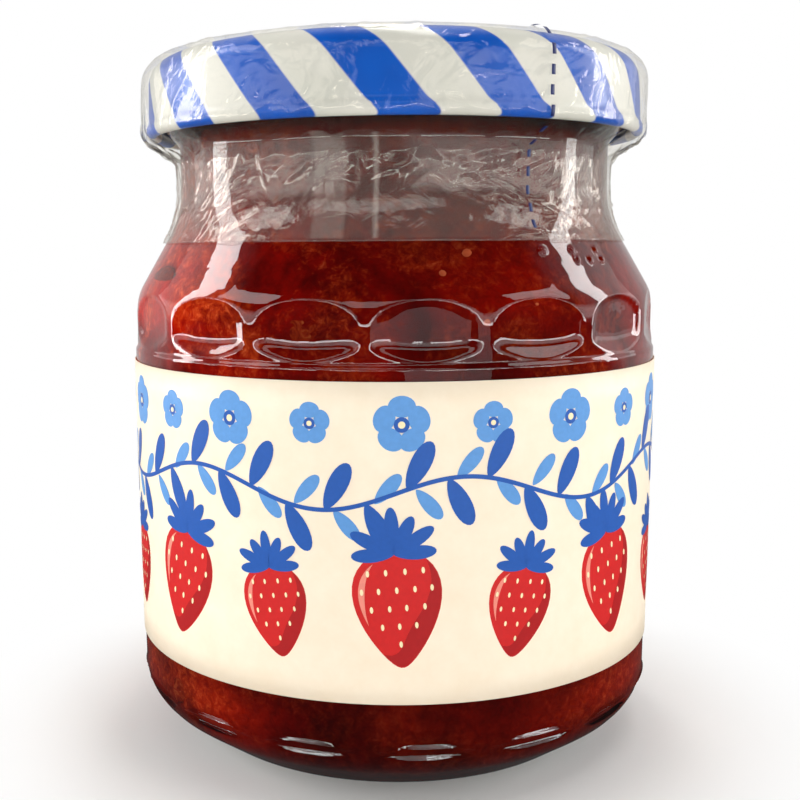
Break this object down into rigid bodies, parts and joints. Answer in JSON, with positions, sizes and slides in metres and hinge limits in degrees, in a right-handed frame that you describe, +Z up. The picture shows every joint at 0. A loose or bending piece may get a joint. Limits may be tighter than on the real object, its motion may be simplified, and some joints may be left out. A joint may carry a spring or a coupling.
{
  "type": "jam jar",
  "caption": "Filled glass jam jar with a striped twist-off cap, a wrap-round paper label and a clear shrink seal over the cap and neck.",
  "frame": {"origin": "centre of the jar's footprint, on the surface it stands on", "axes": "+Z up through the cap, front of the label towards -Y"},
  "size_m": [0.0706, 0.0706, 0.0897],
  "materials": {
    "glass": "clear moulded soda-lime glass",
    "jam": "wet translucent fruit jam",
    "cap_paint": "glossy lacquered tinplate in blue and pale grey stripes",
    "label_paper": null,
    "film": "clear glossy shrink film"
  },
  "bodies": {
    "root": {"jar_glass": "glass", "jam": "jam", "lid": "cap_paint", "label": "label_paper", "seal_film": "film"}
  },
  "joints": []
}
